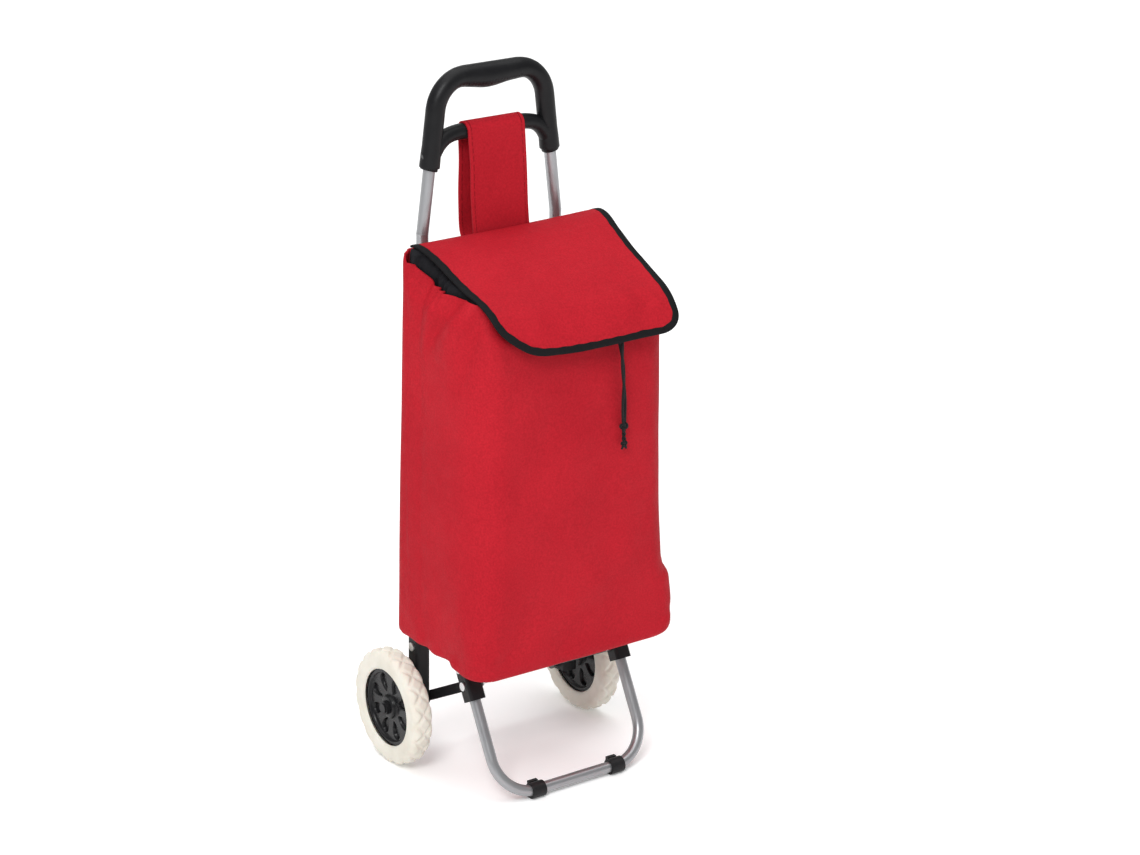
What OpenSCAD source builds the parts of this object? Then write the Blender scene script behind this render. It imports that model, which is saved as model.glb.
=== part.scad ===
// Folding shopping trolley: a tube frame on two wheels with a fabric bag hung on its handle.
// The origin is on the floor, midway between the wheels, straight below the axle.
// +X is the trolley's left-to-right as seen from the front, -Y is its front and +Z is up.

/* [Wheels] */
// Outer radius of a tyre
wheel_r = 75; // [70:1:80]
// Width of a tyre
tyre_w = 28; // [22:1:30]
// Radius where the tyre sits on the hub
hub_r = 50; // [44:1:54]
// Distance from the middle of the trolley to the middle of a wheel
wheel_x = 144; // [143:1:150]
// Radius of the axle
axle_r = 5; // [4:0.5:6]

/* [Main frame] */
// Distance from the middle to each upright tube
leg_x = 113; // [112:0.5:114]
// Radius of the upright tube
leg_r = 8; // [7:0.5:8]
// Height of the frame's top bar above the axle, along the frame
frame_h = 477; // [460:1:500]
// Forward lean of the frame in degrees
lean = 2.4; // [1.5:0.1:3]
// Radius of the bend at the frame's top corners
frame_bend = 38; // [30:1:50]

/* [Handle] */
// Distance from the middle to each handle tube where it turns on the frame
pole_x = 97; // [95:0.5:97]
// Radius of the handle tube
pole_r = 7.5; // [6:0.5:7.5]
// Height of the handle's pivot above the axle, along the frame
pole_pivot_h = 433; // [428:1:434]
// Distance from the middle to each pole at the mouth of its socket
socket_x = 87; // [80:1:90]
// Height of the socket's mouth above the axle, along the frame
socket_h = 693; // [670:1:710]
// Height of the grip's centre line above the axle, along the frame
grip_h = 799; // [780:1:820]
// Radius of the moulded handle's arms
arm_r = 12; // [11:0.5:13]
// Radius of the grip
grip_r = 13.5; // [12:0.5:15]
// Height of the cross bar that the bag hangs on, along the frame
hang_h = 731; // [720:1:740]
// Radius of that cross bar
hang_r = 8.5; // [7:0.5:9]

/* [Foot and platform] */
// Distance from the middle to the foot's and the platform's side tubes
side_x = 110; // [109:0.5:111]
// Radius of the foot's and the platform's tube
foot_r = 7; // [6:0.5:7]
// Angle of the foot from straight down, in degrees
foot_lean = 27; // [20:1:32]
// Radius of the bend at the foot's corners
foot_bend = 50; // [40:1:55]
// Distance from the platform's hinge to its cross bar
platform_len = 82.5; // [80:0.5:85]
// Rise of the platform towards its cross bar, in degrees
platform_rise = 10; // [8:0.5:11]

/* [Bag] */
// Half the bag's width at its bottom
bag_low_x = 147; // [130:1:150]
// Half the bag's width at its top
bag_top_x = 140; // [125:1:145]
// Thickness of the bag's cloth, stiffened by its lining
cloth = 2.5; // [2:0.5:4]
// Height of the bag's bottom above the floor
bag_bottom = 182; // [178:1:190]
// Width of the loop that hangs the bag on the handle
loop_w = 80; // [60:1:90]

/* [Hidden] */

$fn = 64;
hull_fn = 32;
eps = 0.01;
fit = 0.05;            // radial clearance of a turning fit
tube_wall = 1.2;
axle_z = wheel_r;
leg_y = -11;           // the uprights stand this far in front of the axle
bracket_w = 20;        // across the trolley
bracket_d = 24;        // front to back
bracket_foot = -9;     // bottom of the bracket along the frame, from the axle's height
bracket_top = 95;
leg_start = 16;        // bottom end of the upright inside its bracket
frame_rivet_h = 80;    // rivet through bracket and upright
spoke_gaps = 8;
spacer_end = 129.4;    // outer end of the sleeve between a bracket and its wheel
link_x = 97;           // middle of the flat link
link_t = 3;
link_w = 13;
pin_r = 3;
pin_head_r = 5.5;
pin_head_t = 2;
joint_w = 22;          // fold joint, across and front to back
joint_low = 20;        // fold joint below and above its link pin, along the foot
joint_high = 34;
joint_fork = 11;       // bottom of the fork that holds the platform tube
joint_step = 22;       // from the link pin up to the platform pin
foot_top = 8;          // top end of the foot tube above the link pin
link_pin = [-128, 140];                      // y and z of the link's front pin
link_len = norm(link_pin - [0, axle_z]);
link_tilt = atan2(-link_pin[0], link_pin[1] - axle_z);
foot_reach = (link_pin[1] - 10) / cos(foot_lean);  // from the link pin down to the foot's bar
platform_pin = link_pin + joint_step * [sin(foot_lean), cos(foot_lean)];
platform_bend = 34;
pole_back = leg_r + pole_r + 0.5;            // the poles stand this far behind the uprights
pole_jog = 24;                               // height over which a pole steps back
pole_tail = 8;                               // pole below its pivot
pole_straight_h = 612;                       // where the poles start to lean in
pole_in = atan((pole_x - socket_x) / (socket_h - pole_straight_h));
pole_end = 50;                               // pole inside its socket
jog = atan(pole_back / pole_jog);
handle_corner = 34;                          // bend between an arm and the grip
arm_rise = grip_h - socket_h - handle_corner * (1 - sin(pole_in));
knee_swell = 0.15;                           // a pole's bend stands this much proud
bail_h = 545;                                // the bail's hinge along the frame
bail_r = 2;
bag_gap = 3.4;                               // between the uprights and the bag
bag_rim_rear = 676;                          // heights of the bag's rim
bag_rim_front = 616;
bag_front_low = -205;                        // y of the front panel, low and high
bag_front_top = -200;
flap_t = 2.5;
flap_x = 131;                                // half the flap's width
binding_w = 9;
cord_r = 1.8;
collar_depth = 8;
collar_slant = [34, 24];                     // the collar's draw-in at its top, sideways and to the middle
eyelet_r = 3.5;
eyelet_face = -203;
flap_corner = 42;

// Route of each hanging draw cord, from its eyelet under the flap to the knot.
cord_left_route = [
    [50, eyelet_face, 600], [50, -207, 600], [50, -212, 595], [50, -215.5, 588],
    [50.2, -217, 578], [50.6, -217, 566], [51.2, -216.5, 554], [52, -216, 542],
    [53, -215.5, 530], [54, -215, 518], [55, -215, 506], [56, -215, 494], [57, -215, 482], [57.8, -215, 470]
];
cord_right_route = [
    [57, eyelet_face, 600], [57, -207, 600], [57, -212, 595], [57.2, -215.5, 588],
    [57.6, -217, 578], [58.2, -217, 566], [59, -216.5, 554], [60, -216, 542],
    [61, -215.5, 530], [61.6, -215, 518], [62, -215, 506], [62.2, -215, 494], [62.1, -215, 482], [62, -215, 470]
];
// Both cords leave the knot as one twisted tail.
cord_tail_route = [[60, -215, 458], [60, -215, 452], [60.2, -215, 446]];
knot_z = 464;
end_knot_z = 442;

// The flap's outer line from its rear edge to its hem, as y and z.
flap_line = [
    [-50, 684.5], [-63, 686.5], [-85, 684], [-108, 676], [-132, 665], [-156, 653], [-180, 640],
    [-200, 624], [-214, 606], [-222, 588], [-224, 574]
];

function frame_y(h) = leg_y - h * sin(lean);
function frame_z(h) = axle_z + h * cos(lean);
function bag_rear(z) = frame_y((z - axle_z) / cos(lean)) - leg_r / cos(lean) - bag_gap;
function unit(v) = v / norm(v);
function heading(p, i) = unit(p[min(i + 1, len(p) - 1)] - p[max(i - 1, 0)]);
function ring(p, i, r, sides) =
    let (t = heading(p, i), u = unit(cross([0, 1, 0.001], t)), v = cross(t, u))
    [for (k = [0:sides - 1]) p[i] + r * (cos(360 * k / sides) * u + sin(360 * k / sides) * v)];

rim_slope = atan((bag_rim_rear - bag_rim_front) / (bag_rear(bag_rim_rear) - bag_front_top));

// The hanging loop seen from the side, as y and z.
loop_t = 2;
loop_bar = [frame_y(hang_h) + pole_back * cos(lean), frame_z(hang_h) + pole_back * sin(lean)];
loop_front_end = [-45, 672];
loop_rear_mid = [-12, 688];
loop_rear_end = [-45.7, 640];

// Places its children in the frame's own plane: z runs up the uprights from the axle's height.
module in_frame() {
    translate([0, leg_y, axle_z]) rotate([lean, 0, 0]) children();
}

// Places its children along the foot: z runs from the link pin up to the platform pin.
module in_foot() {
    translate([0, link_pin[0], link_pin[1]]) rotate([-foot_lean, 0, 0]) children();
}

// A tube's straight stretch, and what follows it.
module run(length) {
    cylinder(r = $tube_r, h = length);
    translate([0, 0, length]) children();
}

// A tube's bend towards +x, and what follows it.
module turn(radius, angle) {
    translate([radius, 0, 0]) {
        rotate([90, 0, 0]) rotate([0, 0, 180 - angle])
            rotate_extrude(angle = angle) translate([radius, 0]) circle(r = $tube_r);
        rotate([0, angle, 0]) translate([-radius, 0, 0]) children();
    }
}

// A tube's slight bend towards +x, and what follows it.
module knee(angle) {
    sphere(r = $tube_r + knee_swell);
    rotate([0, angle, 0]) children();
}

// A path of runs and turns made hollow.
module tube(r) {
    difference() {
        let ($tube_r = r) children();
        let ($tube_r = r - tube_wall) children();
    }
}

// A round bar along X from x to x + w.
module bar_x(x, w, r) {
    translate([x, 0, 0]) rotate([0, 90, 0]) cylinder(r = r, h = w);
}

module rounded_block(w, d, h, r) {
    linear_extrude(h) {
        square([w - 2 * r, d], center = true);
        square([w, d - 2 * r], center = true);
        for (x = [-1, 1], y = [-1, 1]) translate([x * (w / 2 - r), y * (d / 2 - r)]) circle(r = r);
    }
}

// Draws its children on the right, and their mirror image if side is -1.
module on_side(side) {
    if (side < 0) mirror([1, 0, 0]) children();
    else children();
}

module both_sides() {
    for (side = [-1, 1]) on_side(side) children();
}

module swept(p, r, sides = 8) {
    last = len(p) - 1;
    polyhedron(
        points = [for (i = [0:last]) each ring(p, i, r, sides)],
        faces = concat(
            [[for (k = [0:sides - 1]) k]],
            [for (i = [0:last - 1], k = [0:sides - 1])
                [i * sides + k, (i + 1) * sides + k, (i + 1) * sides + (k + 1) % sides,
                 i * sides + (k + 1) % sides]],
            [[for (k = [sides - 1:-1:0]) last * sides + k]]
        )
    );
}

// ---- Main frame ----

module main_frame() {
    color("silver") in_frame() translate([-leg_x, 0, leg_start]) difference() {
        tube(leg_r) run(frame_h - frame_bend - leg_start) turn(frame_bend, 90)
            run(2 * (leg_x - frame_bend)) turn(frame_bend, 90) run(frame_h - frame_bend - leg_start);
        for (h = [frame_rivet_h, pole_pivot_h])
            translate([-leg_r - 1, 0, h - leg_start]) bar_x(0, 2 * (leg_x + leg_r + 1), pin_r);
    }
}

module axle_bracket(side) {
    x0 = leg_x - bracket_w / 2;
    color("black") on_side(side) difference() {
        union() {
            in_frame() translate([leg_x, 0, bracket_foot])
                rounded_block(bracket_w, bracket_d, bracket_top - bracket_foot, 5);
            translate([0, 0, axle_z]) bar_x(x0 + 1, bracket_w - 2, 12);
            translate([0, 0, axle_z]) bar_x(link_x + link_t / 2 + 0.3, 6, 9);
        }
        in_frame() translate([leg_x, 0, leg_start]) cylinder(r = leg_r, h = bracket_top);
        in_frame() translate([0, 0, frame_rivet_h]) bar_x(leg_x - 20, 40, pin_r);
        translate([0, 0, axle_z]) bar_x(link_x, 50, axle_r);
    }
}

module axle() {
    reach = wheel_x + tyre_w / 2 + 1;
    color("gray") translate([0, 0, axle_z]) bar_x(-reach, 2 * reach, axle_r);
}

module axle_spacers() {
    x0 = leg_x + bracket_w / 2;
    color("dimgray") both_sides() translate([0, 0, axle_z]) difference() {
        bar_x(x0, spacer_end - x0, 8);
        bar_x(x0 - 1, spacer_end - x0 + 2, axle_r);
    }
}

module axle_caps() {
    color("black") both_sides() translate([wheel_x + tyre_w / 2 - 3.6, 0, axle_z]) difference() {
        union() {
            bar_x(0, 4.6, 9);
            bar_x(0, 6.6, 6.5);
        }
        bar_x(-1, 5.6, axle_r);
    }
}

module rivet(x, w) {
    bar_x(x, w, pin_r);
    bar_x(x - pin_head_t, pin_head_t, pin_head_r);
    bar_x(x + w, pin_head_t, pin_head_r);
}

module frame_rivets() {
    color("silver") both_sides() in_frame() translate([0, 0, frame_rivet_h])
        rivet(leg_x - bracket_w / 2, bracket_w);
}

module handle_pins() {
    color("silver") both_sides() in_frame() translate([0, 0, pole_pivot_h])
        rivet(pole_x - pole_r - 0.2, leg_x + leg_r - pole_x + pole_r + 0.2);
}

// ---- Wheels ----

module wheel_hub(side) {
    w = tyre_w - 8;
    color([0.12, 0.12, 0.13]) on_side(side) translate([wheel_x, 0, axle_z]) rotate([0, 90, 0]) difference() {
        rotate_extrude() polygon([
            [axle_r + fit, -w / 2 - 3], [13, -w / 2 - 3], [14, -w / 2 + 3], [hub_r - 5, -w / 2 + 3],
            [hub_r - 4, -w / 2], [hub_r, -w / 2], [hub_r, w / 2], [hub_r - 4, w / 2],
            [hub_r - 5, w / 2 - 3], [14, w / 2 - 3], [12, w / 2], [axle_r + fit, w / 2]
        ]);
        for (k = [0:spoke_gaps - 1]) rotate([0, 0, (k + 0.5) * 360 / spoke_gaps])
            translate([31, 0, -w]) cylinder(r = 7.5, h = 2 * w);
    }
}

module tyre(side) {
    w = tyre_w / 2;
    shoulder = 9;
    color([0.86, 0.84, 0.78]) on_side(side) translate([wheel_x, 0, axle_z]) rotate([0, 90, 0])
        rotate_extrude() {
            translate([hub_r, -w]) square([wheel_r - hub_r - shoulder, 2 * w]);
            translate([hub_r, shoulder - w]) square([wheel_r - hub_r, 2 * (w - shoulder)]);
            for (z = [-1, 1]) translate([wheel_r - shoulder, z * (w - shoulder)]) circle(r = shoulder);
        }
}

// ---- Links from the axle to the fold joints ----

module link(side) {
    color("dimgray") on_side(side) translate([link_x - link_t / 2, 0, axle_z]) rotate([link_tilt, 0, 0])
        rotate([90, 0, 90]) linear_extrude(link_t) difference() {
            union() {
                translate([-link_w / 2, 0]) square([link_w, link_len]);
                circle(r = 10);
                translate([0, link_len]) circle(r = link_w / 2);
            }
            circle(r = axle_r + fit);
            translate([0, link_len]) circle(r = pin_r + fit);
        }
}

// ---- Foot ----

module foot_frame() {
    leg = foot_reach - foot_bend + foot_top;
    color("silver") in_foot() translate([-side_x, 0, foot_top]) rotate([180, 0, 0]) difference() {
        tube(foot_r) run(leg) turn(foot_bend, 90) run(2 * (side_x - foot_bend)) turn(foot_bend, 90) run(leg);
        translate([0, 0, foot_top]) bar_x(-20, 2 * side_x + 40, pin_r);
    }
}

module fold_joint(side) {
    slot = foot_r + 0.3;
    color("black") on_side(side) in_foot() difference() {
        union() {
            translate([side_x, 0, -joint_low]) rounded_block(joint_w, joint_w, joint_low + joint_high, 4);
            translate([0, 0, 0]) bar_x(link_x + link_t / 2 + 0.3, 6, 8);
        }
        translate([side_x, 0, -joint_low - 1]) cylinder(r = foot_r, h = joint_low + 1 + foot_top);
        translate([side_x - slot, -joint_w, joint_fork]) cube([2 * slot, 2 * joint_w, joint_high]);
        bar_x(link_x, 40, pin_r);
        translate([0, 0, joint_step]) bar_x(link_x, 40, pin_r);
    }
}

module link_pins() {
    x0 = link_x - link_t / 2 - 0.2;
    color("silver") both_sides() in_foot() rivet(x0, side_x + joint_w / 2 - x0);
}

module platform_pins() {
    color("silver") both_sides() in_foot() translate([0, 0, joint_step])
        rivet(side_x - joint_w / 2, joint_w);
}

module foot_clip(side) {
    x0 = 50;
    w = 19;
    color([0.13, 0.13, 0.14]) on_side(side) in_foot() translate([0, 0, -foot_reach])
        rotate([foot_lean, 0, 0]) difference() {
            union() {
                bar_x(x0, w, 10);
                translate([x0, -1, -10]) cube([w, 9, 10]);
                translate([x0 + 3, 6, 2]) cube([w - 6, 5, 7.5]);
            }
            bar_x(x0 - 1, w + 2, foot_r);
        }
}

// ---- Platform that the bag stands on ----

module platform_frame() {
    start = 6.5;
    leg = platform_len - platform_bend + start;
    color("silver") translate([0, platform_pin[0], platform_pin[1]]) rotate([platform_rise - 90, 0, 0])
        translate([-side_x, 0, -start]) difference() {
            tube(foot_r) run(leg) turn(platform_bend, 90) run(2 * (side_x - platform_bend))
                turn(platform_bend, 90) run(leg);
            translate([0, 0, start]) bar_x(-20, 2 * side_x + 40, pin_r + fit);
        }
}

// ---- Handle ----

module handle_pole(side) {
    color("silver") on_side(side) in_frame() difference() {
        translate([pole_x, 0, pole_pivot_h - pole_tail]) rotate([0, 0, 90]) tube(pole_r)
            run(pole_tail) knee(jog) run(pole_back / sin(jog)) knee(-jog)
            run(pole_straight_h - pole_pivot_h - pole_jog) rotate([0, 0, 90]) knee(pole_in)
            run((socket_h + pole_end - pole_straight_h) / cos(pole_in));
        translate([0, 0, pole_pivot_h]) bar_x(pole_x - 20, 40, pin_r + fit);
        translate([0, pole_back, bail_h]) bar_x(pole_x - 20, 20, bail_r + fit);
    }
}

module in_handle() {
    in_frame() translate([0, pole_back, 0]) children();
}

// One arm of the handle, solid, from the socket's mouth up to the bend beside the grip.
module arm_form() {
    translate([socket_x, 0, socket_h]) rotate([0, -pole_in, 0])
        cylinder(r = arm_r, h = arm_rise / cos(pole_in));
}

module handle_arm(side) {
    color([0.13, 0.13, 0.14]) on_side(side) in_handle() difference() {
        arm_form();
        translate([socket_x, 0, socket_h]) rotate([0, -pole_in, 0])
            translate([0, 0, -1]) cylinder(r = pole_r, h = pole_end + 1);
        translate([0, 0, socket_h + 14]) bar_x(socket_x - 20, 40, 2);
    }
}

module handle_grip() {
    reach = socket_x - arm_rise * tan(pole_in) - handle_corner * cos(pole_in);
    color([0.13, 0.13, 0.14]) in_handle() translate([0, 0, grip_h]) {
        bar_x(-reach - 1, 2 * reach + 2, grip_r);
        both_sides() translate([reach, 0, 0]) rotate([0, 90, 0])
            let ($tube_r = arm_r) turn(handle_corner, 90 - pole_in);
    }
}

// Cross bar between the arms that the bag's loop hangs on, arched down into the arms.
module hang_bar() {
    bend = 30;
    half = socket_x - 1;
    color([0.13, 0.13, 0.14]) in_handle() difference() {
        translate([-half, 0, hang_h - bend]) let ($tube_r = hang_r)
            turn(bend, 90) run(2 * (half - bend)) turn(bend, 90);
        both_sides() arm_form();
    }
}

module handle_screws() {
    color("silver") both_sides() in_handle() translate([0, 0, socket_h + 14]) {
        bar_x(socket_x - arm_r - 2, 2 * arm_r, 2);
        bar_x(socket_x + arm_r - 2.6, 1.4, 3.5);
    }
}

// Wire that swings on the poles and keeps the bag's back against them.
module bag_bail() {
    color("gainsboro") in_frame() translate([0, pole_back, bail_h])
        let ($tube_r = bail_r) both_sides() translate([pole_x - 1, 0, 0]) rotate([0, -90, 0])
            rotate([0, 0, 180]) run(12) turn(6, 90) run(10) rotate([0, 0, 180]) turn(6, 90)
            run(pole_x - 1 - 12 - 12);
}

// ---- Bag ----

// The bag's outline at one height, seen from above.
module bag_outline(half, rear, front, corner) {
    translate([0, (rear + front) / 2]) {
        square([2 * (half - corner), rear - front], center = true);
        square([2 * half, rear - front - 2 * corner], center = true);
        for (x = [-1, 1], y = [-1, 1])
            translate([x * (half - corner), y * ((rear - front) / 2 - corner)])
                circle(r = corner, $fn = hull_fn);
    }
}

// The bag's solid form, drawn in by inset all round, from low to a height above its rim.
module bag_form(inset, low, high) {
    hull() {
        translate([0, 0, low]) linear_extrude(eps)
            bag_outline(bag_low_x - inset, bag_rear(low) - inset, bag_front_low + inset, 26);
        translate([0, 0, high]) linear_extrude(eps)
            bag_outline(bag_top_x - inset, bag_rear(high) - inset, bag_front_top + inset, 26);
    }
}

// Everything above the bag's sloping rim, lifted by up.
module above_rim(up) {
    translate([-300, bag_rear(bag_rim_rear), bag_rim_rear + up]) rotate([rim_slope, 0, 0])
        translate([0, -400, 0]) cube([600, 600, 300]);
}

module bag_body() {
    color([0.78, 0.13, 0.17]) difference() {
        bag_form(0, bag_bottom, 700);
        bag_form(cloth, bag_bottom + cloth, 705);
        above_rim(0);
    }
}

module base_board() {
    z = bag_bottom + cloth + 0.2;
    color("saddlebrown") translate([0, 0, z]) linear_extrude(3)
        bag_outline(bag_low_x - cloth - 3, bag_rear(z) - cloth - 3, bag_front_low + cloth + 3, 22);
}

// Gathered lining that the draw cord pulls in over the mouth.
module bag_collar() {
    color([0.1, 0.1, 0.11]) intersection() {
        translate([0, bag_rear(bag_rim_rear), bag_rim_rear]) rotate([rim_slope, 0, 0]) difference() {
            collar_form(0);
            collar_form(3);
        }
        translate([-200, -300, 500]) cube([400, 300, 300]);
    }
}

// The collar's solid form on the rim's plane, drawn in by inset all round.
module collar_form(inset) {
    mid = -(bag_rear(bag_rim_rear) - bag_front_top) / cos(rim_slope) / 2;
    half = [bag_top_x - cloth - 1 - inset, -mid - cloth - 1 - inset];
    top = half - collar_slant;
    over = 2 * sign(inset);
    hull() {
        translate([0, 0, 0.4 - over]) linear_extrude(eps)
            bag_outline(half[0], mid + half[1], mid - half[1], 24);
        translate([0, 0, collar_depth + over]) linear_extrude(eps)
            bag_outline(top[0], mid + top[1], mid - top[1], 20);
    }
}

// Loop of the bag's cloth over the handle's cross bar, as an outline seen from the side.
function loop_side(out) = let (r = hang_r + 0.4 + out) concat(
    [loop_rear_end + [out, 0], loop_rear_mid + [out, 0]],
    [for (a = [0:10:180]) loop_bar + r * [cos(a), sin(a)]],
    [loop_front_end - [out, 0]]
);

module hanging_loop() {
    inner = loop_side(0);
    color([0.8, 0.15, 0.19]) translate([-loop_w / 2, 0, 0]) rotate([90, 0, 90]) linear_extrude(loop_w)
        polygon(concat(loop_side(loop_t), [for (i = [len(inner) - 1:-1:0]) inner[i]]));
}

// ---- Draw cord ----

module cord_eyelets() {
    color("dimgray") for (route = [cord_left_route, cord_right_route])
        translate(route[0]) rotate([-90, 0, 0]) cylinder(r = eyelet_r, h = 1.7);
}

module drawcord_left() { color("black") swept(cord_left_route, cord_r); }

module drawcord_right() { color("black") swept(cord_right_route, cord_r); }

module drawcord_knot() {
    color("black") translate([60, -215, knot_z]) sphere(r = 6.4);
}

module drawcord_tail() { color("black") swept(cord_tail_route, 2.6); }

module drawcord_end() {
    color("black") translate([60.2, -215, end_knot_z]) sphere(r = 4.6);
}

// ---- Flap ----

function flap_normal(i) =
    let (t = unit(flap_line[min(i + 1, len(flap_line) - 1)] - flap_line[max(i - 1, 0)])) [-t[1], t[0]];

module flap_profile(out, inner) {
    last = len(flap_line) - 1;
    polygon(concat(
        [for (i = [0:last]) flap_line[i] - out * flap_normal(i)],
        [for (i = [last:-1:0]) flap_line[i] + inner * flap_normal(i)]
    ));
}

// Everything within the flap's outline seen from the front, drawn in by inset.
module flap_cut(inset) {
    x = flap_x - inset;
    low = flap_line[len(flap_line) - 1][1] + inset;
    rotate([90, 0, 0]) linear_extrude(300) {
        translate([-x, low + flap_corner]) square([2 * x, 200]);
        translate([flap_corner - x, low]) square([2 * (x - flap_corner), 100]);
        for (s = [-1, 1]) translate([s * (x - flap_corner), low + flap_corner]) circle(r = flap_corner);
    }
}

module flap_sheet(out, inner) {
    translate([-flap_x - 1, 0, 0]) rotate([90, 0, 90]) linear_extrude(2 * flap_x + 2) flap_profile(out, inner);
}

module bag_flap() {
    color([0.82, 0.17, 0.2]) intersection() {
        flap_sheet(0, flap_t);
        flap_cut(1.2);
    }
}

module flap_binding() {
    color("black") difference() {
        intersection() {
            flap_sheet(0.8, flap_t + 0.8);
            flap_cut(0);
        }
        flap_cut(binding_w);
        bag_flap();
    }
}

main_frame();
axle_bracket(-1);  // axle_bracket_left
axle_bracket(1);  // axle_bracket_right
axle();
axle_spacers();
axle_caps();
frame_rivets();
handle_pins();
wheel_hub(-1);  // wheel_hub_left
tyre(-1);  // tyre_left
wheel_hub(1);  // wheel_hub_right
tyre(1);  // tyre_right
link(-1);  // link_left
link(1);  // link_right
foot_frame();
fold_joint(-1);  // fold_joint_left
fold_joint(1);  // fold_joint_right
foot_clip(-1);  // foot_clip_left
foot_clip(1);  // foot_clip_right
link_pins();
platform_pins();
platform_frame();
handle_pole(-1);  // handle_pole_left
handle_pole(1);  // handle_pole_right
handle_arm(-1);  // handle_arm_left
handle_arm(1);  // handle_arm_right
handle_grip();
hang_bar();
handle_screws();
bag_bail();
bag_body();
base_board();
bag_collar();
hanging_loop();
cord_eyelets();
drawcord_left();
drawcord_right();
drawcord_knot();
drawcord_tail();
drawcord_end();
bag_flap();
flap_binding();
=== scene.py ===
# Looks of the folding shopping trolley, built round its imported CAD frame. Everything is in metres.
import bpy
import math
import numpy as np
from mathutils import Matrix, Vector, kdtree, noise


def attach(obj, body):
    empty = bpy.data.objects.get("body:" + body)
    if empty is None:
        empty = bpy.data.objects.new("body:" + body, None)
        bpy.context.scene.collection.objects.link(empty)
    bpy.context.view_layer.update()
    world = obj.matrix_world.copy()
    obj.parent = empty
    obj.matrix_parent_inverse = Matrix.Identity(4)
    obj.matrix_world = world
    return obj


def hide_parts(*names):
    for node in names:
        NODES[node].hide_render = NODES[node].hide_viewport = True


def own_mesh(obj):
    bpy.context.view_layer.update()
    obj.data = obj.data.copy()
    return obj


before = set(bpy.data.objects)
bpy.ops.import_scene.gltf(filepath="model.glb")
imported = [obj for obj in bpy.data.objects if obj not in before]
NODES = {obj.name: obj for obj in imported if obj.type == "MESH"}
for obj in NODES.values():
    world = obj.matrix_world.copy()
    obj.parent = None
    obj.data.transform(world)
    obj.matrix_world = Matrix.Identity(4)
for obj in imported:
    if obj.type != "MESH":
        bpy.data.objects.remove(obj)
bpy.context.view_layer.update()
MM = 0.001
LEAN = math.radians(2.4)            # how far the frame leans forward
AXLE_Z = 75                         # millimetres, as are all lengths before they are multiplied by MM
WHEEL_X = 144
FRAME_Y_AT_AXLE = -11


# ---- Camera ----

def look_from(place, target, roll, lens):
    """The camera of the photo: place and target in metres, roll in degrees, lens in millimetres."""
    data = bpy.data.cameras.new("camera")
    data.lens = lens
    data.sensor_width = 36
    data.clip_end = 50
    cam = bpy.data.objects.new("camera", data)
    bpy.context.scene.collection.objects.link(cam)
    aim = (Vector(target) - Vector(place)).to_track_quat("-Z", "Y").to_matrix().to_4x4()
    cam.matrix_world = Matrix.Translation(Vector(place)) @ aim @ Matrix.Rotation(math.radians(roll), 4, "Z")
    bpy.context.scene.camera = cam


look_from((-2.01013, -3.08144, 1.67288), (0.08716, -0.06249, 0.41558), -0.5, 98.15)


# ---- Mesh helpers ----

def piece(name, verts, faces, smooth=True):
    """An object from points in metres and faces."""
    mesh = bpy.data.meshes.new(name)
    mesh.from_pydata([tuple(map(float, v)) for v in verts], [], faces)
    mesh.polygons.foreach_set("use_smooth", [smooth] * len(mesh.polygons))
    mesh.update()
    o = bpy.data.objects.new(name, mesh)
    bpy.context.scene.collection.objects.link(o)
    return o


def grid_faces(rows, cols, closed=False):
    """Faces between the rows of a grid of points; closed joins the last column to the first."""
    span = cols if closed else cols - 1
    return [(i * cols + j, i * cols + (j + 1) % cols, (i + 1) * cols + (j + 1) % cols, (i + 1) * cols + j)
            for i in range(rows - 1) for j in range(span)]


def end_faces(rows, cols):
    """The two faces that close the ends of a closed grid."""
    return [tuple(range(cols - 1, -1, -1)), tuple((rows - 1) * cols + j for j in range(cols))]


def grid(name, points, closed=False):
    """A mesh from an array of points in rows, with its rows and columns as UVs."""
    rows, cols = points.shape[:2]
    o = piece(name, points.reshape(-1, 3), grid_faces(rows, cols, closed))
    uv = o.data.uv_layers.new(name="run").data
    for poly in o.data.polygons:
        for loop in poly.loop_indices:
            k = o.data.loops[loop].vertex_index
            uv[loop].uv = (k % cols / max(cols - 1, 1), k // cols / max(rows - 1, 1))
    return o


def with_faces(o, more, smooth=True):
    """The same mesh with more faces, in place of the object."""
    name = o.name
    verts = [v.co.copy() for v in o.data.vertices]
    faces = [tuple(q.vertices) for q in o.data.polygons] + more
    bpy.data.objects.remove(o)
    return piece(name, verts, faces, smooth)


def smooth_line(points, steps):
    """Points on a smooth curve through the given ones, with so many steps between two of them."""
    p = np.array(points, float)
    out, n = [], len(p)
    for i in range(n - 1):
        a, b, c, d = (p[min(max(k, 0), n - 1)] for k in (i - 1, i, i + 1, i + 2))
        for s in range(steps):
            t = s / steps
            out.append(0.5 * (2 * b + (c - a) * t + (2 * a - 5 * b + 4 * c - d) * t ** 2
                              + (3 * b - a - 3 * c + d) * t ** 3))
    out.append(p[-1])
    return np.array(out)


def tube_points(line, radii, sides, up, closed):
    """Rings round a line; radii is one radius, or each ring's size along up and across it."""
    line = np.array(line, float)
    n = len(line)
    rings = []
    for i in range(n):
        ahead = line[(i + 1) % n] if closed else line[min(i + 1, n - 1)]
        behind = line[i - 1] if closed else line[max(i - 1, 0)]
        t = (ahead - behind) / np.linalg.norm(ahead - behind)
        u = np.array(up, float)
        u = u - t * (u @ t)
        u /= np.linalg.norm(u)
        v = np.cross(t, u)
        ru, rv = radii[i] if hasattr(radii, "__len__") else (radii, radii)
        a = np.arange(sides) * 2 * math.pi / sides
        rings.append(line[i] + ru * np.cos(a)[:, None] * u + rv * np.sin(a)[:, None] * v)
    return np.array(rings)


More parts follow.
